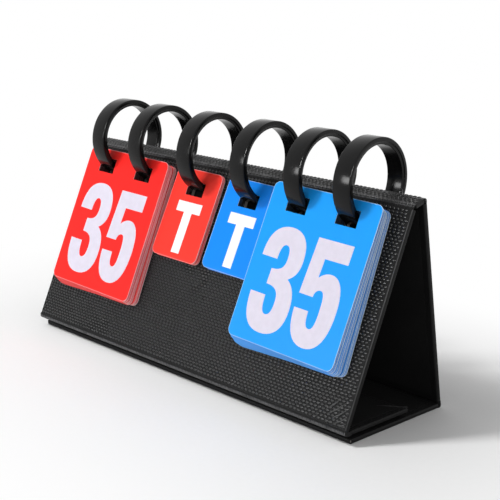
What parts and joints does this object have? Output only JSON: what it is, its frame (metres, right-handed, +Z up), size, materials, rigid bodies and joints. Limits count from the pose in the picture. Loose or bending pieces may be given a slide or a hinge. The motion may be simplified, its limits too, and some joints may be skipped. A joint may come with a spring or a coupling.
{
  "type": "tabletop flip scoreboard",
  "caption": "Folding A-frame stand of wrapped boards with round plastic rings through its ridge, carrying red and blue flip cards that turn over to keep score.",
  "frame": {"origin": "middle of the base panel's underside, where the stand meets the table", "axes": "+X along the ridge to the right as the score is read, +Y from the score side to the plain back, +Z up"},
  "size_m": [0.225, 0.0716, 0.1285],
  "materials": {
    "leatherette": "embossed satin",
    "greyboard": "matt",
    "lining": "satin",
    "hook_and_loop": "matt",
    "ring": "glossy",
    "red_large_card": "satin",
    "red_small_card": "satin",
    "blue_small_card": "satin",
    "blue_large_card": "satin"
  },
  "bodies": {
    "base": {"base_cover": "leatherette", "base_board": "greyboard", "base_lining": "lining", "base_crease": "leatherette", "loop_strips": "hook_and_loop"},
    "back": {"back_cover": "leatherette", "back_board": "greyboard", "back_lining": "lining", "spine_cover": "leatherette", "spine_board": "greyboard", "front_top_crease": "leatherette", "back_top_crease": "leatherette"},
    "front": {"front_cover": "leatherette", "front_board": "greyboard", "front_lining": "lining", "flap_crease": "leatherette"},
    "flap": {"flap_cover": "leatherette", "flap_board": "greyboard", "flap_lining": "lining", "hook_strips": "hook_and_loop"},
    "ring_1": {"ring_1": "ring"},
    "ring_2": {"ring_2": "ring"},
    "ring_3": {"ring_3": "ring"},
    "ring_4": {"ring_4": "ring"},
    "ring_5": {"ring_5": "ring"},
    "ring_6": {"ring_6": "ring"},
    "red_large_stack": {"red_large_cards": "red_large_card"},
    "red_large_front": {"red_large_front_card": "red_large_card"},
    "red_small_stack": {"red_small_cards": "red_small_card"},
    "red_small_front": {"red_small_front_card": "red_small_card"},
    "blue_small_stack": {"blue_small_cards": "blue_small_card"},
    "blue_small_front": {"blue_small_front_card": "blue_small_card"},
    "blue_large_stack": {"blue_large_cards": "blue_large_card"},
    "blue_large_front": {"blue_large_front_card": "blue_large_card"}
  },
  "joints": [
    {"name": "back_fold", "type": "hinge", "parent": "base", "child": "back", "pos_m": [0, 0.0335, 0.00295], "axis": [-1, 0, 0], "range_deg": [0, 90]},
    {"name": "ridge_fold", "type": "hinge", "parent": "back", "child": "front", "pos_m": [0, 0.001, 0.1012], "axis": [1, 0, 0], "range_deg": [-30, 0]},
    {"name": "flap_fold", "type": "hinge", "parent": "front", "child": "flap", "pos_m": [0, -0.0336, 0.0046], "axis": [1, 0, 0], "range_deg": [0, 45]},
    {"name": "ring_1_turn", "type": "hinge", "parent": "front", "child": "ring_1", "pos_m": [-0.0866, 0.0038, 0.1075], "axis": [-1, 0, 0], "continuous": true},
    {"name": "ring_2_turn", "type": "hinge", "parent": "front", "child": "ring_2", "pos_m": [-0.0562, 0.0038, 0.1075], "axis": [-1, 0, 0], "continuous": true},
    {"name": "ring_3_turn", "type": "hinge", "parent": "front", "child": "ring_3", "pos_m": [-0.0179, 0.0038, 0.1075], "axis": [-1, 0, 0], "continuous": true},
    {"name": "ring_4_turn", "type": "hinge", "parent": "front", "child": "ring_4", "pos_m": [0.0205, 0.0038, 0.1075], "axis": [-1, 0, 0], "continuous": true},
    {"name": "ring_5_turn", "type": "hinge", "parent": "front", "child": "ring_5", "pos_m": [0.0559, 0.0038, 0.1075], "axis": [-1, 0, 0], "continuous": true},
    {"name": "ring_6_turn", "type": "hinge", "parent": "front", "child": "ring_6", "pos_m": [0.0856, 0.0038, 0.1075], "axis": [-1, 0, 0], "continuous": true},
    {"name": "red_large_stack_flip", "type": "hinge", "parent": "front", "child": "red_large_stack", "pos_m": [-0.0711, 0.0038, 0.1075], "axis": [-1, 0, 0], "range_deg": [0, 259]},
    {"name": "red_large_front_flip", "type": "hinge", "parent": "red_large_stack", "child": "red_large_front", "pos_m": [-0.0711, 0.0038, 0.1075], "axis": [-1, 0, 0], "range_deg": [0, 259]},
    {"name": "red_small_stack_flip", "type": "hinge", "parent": "front", "child": "red_small_stack", "pos_m": [-0.0183, 0.0038, 0.1075], "axis": [-1, 0, 0], "range_deg": [0, 276]},
    {"name": "red_small_front_flip", "type": "hinge", "parent": "red_small_stack", "child": "red_small_front", "pos_m": [-0.0183, 0.0038, 0.1075], "axis": [-1, 0, 0], "range_deg": [0, 276]},
    {"name": "blue_small_stack_flip", "type": "hinge", "parent": "front", "child": "blue_small_stack", "pos_m": [0.0201, 0.0038, 0.1075], "axis": [-1, 0, 0], "range_deg": [0, 276]},
    {"name": "blue_small_front_flip", "type": "hinge", "parent": "blue_small_stack", "child": "blue_small_front", "pos_m": [0.0201, 0.0038, 0.1075], "axis": [-1, 0, 0], "range_deg": [0, 276]},
    {"name": "blue_large_stack_flip", "type": "hinge", "parent": "front", "child": "blue_large_stack", "pos_m": [0.0711, 0.0038, 0.1075], "axis": [-1, 0, 0], "range_deg": [0, 253]},
    {"name": "blue_large_front_flip", "type": "hinge", "parent": "blue_large_stack", "child": "blue_large_front", "pos_m": [0.0711, 0.0038, 0.1075], "axis": [-1, 0, 0], "range_deg": [0, 253]}
  ]
}
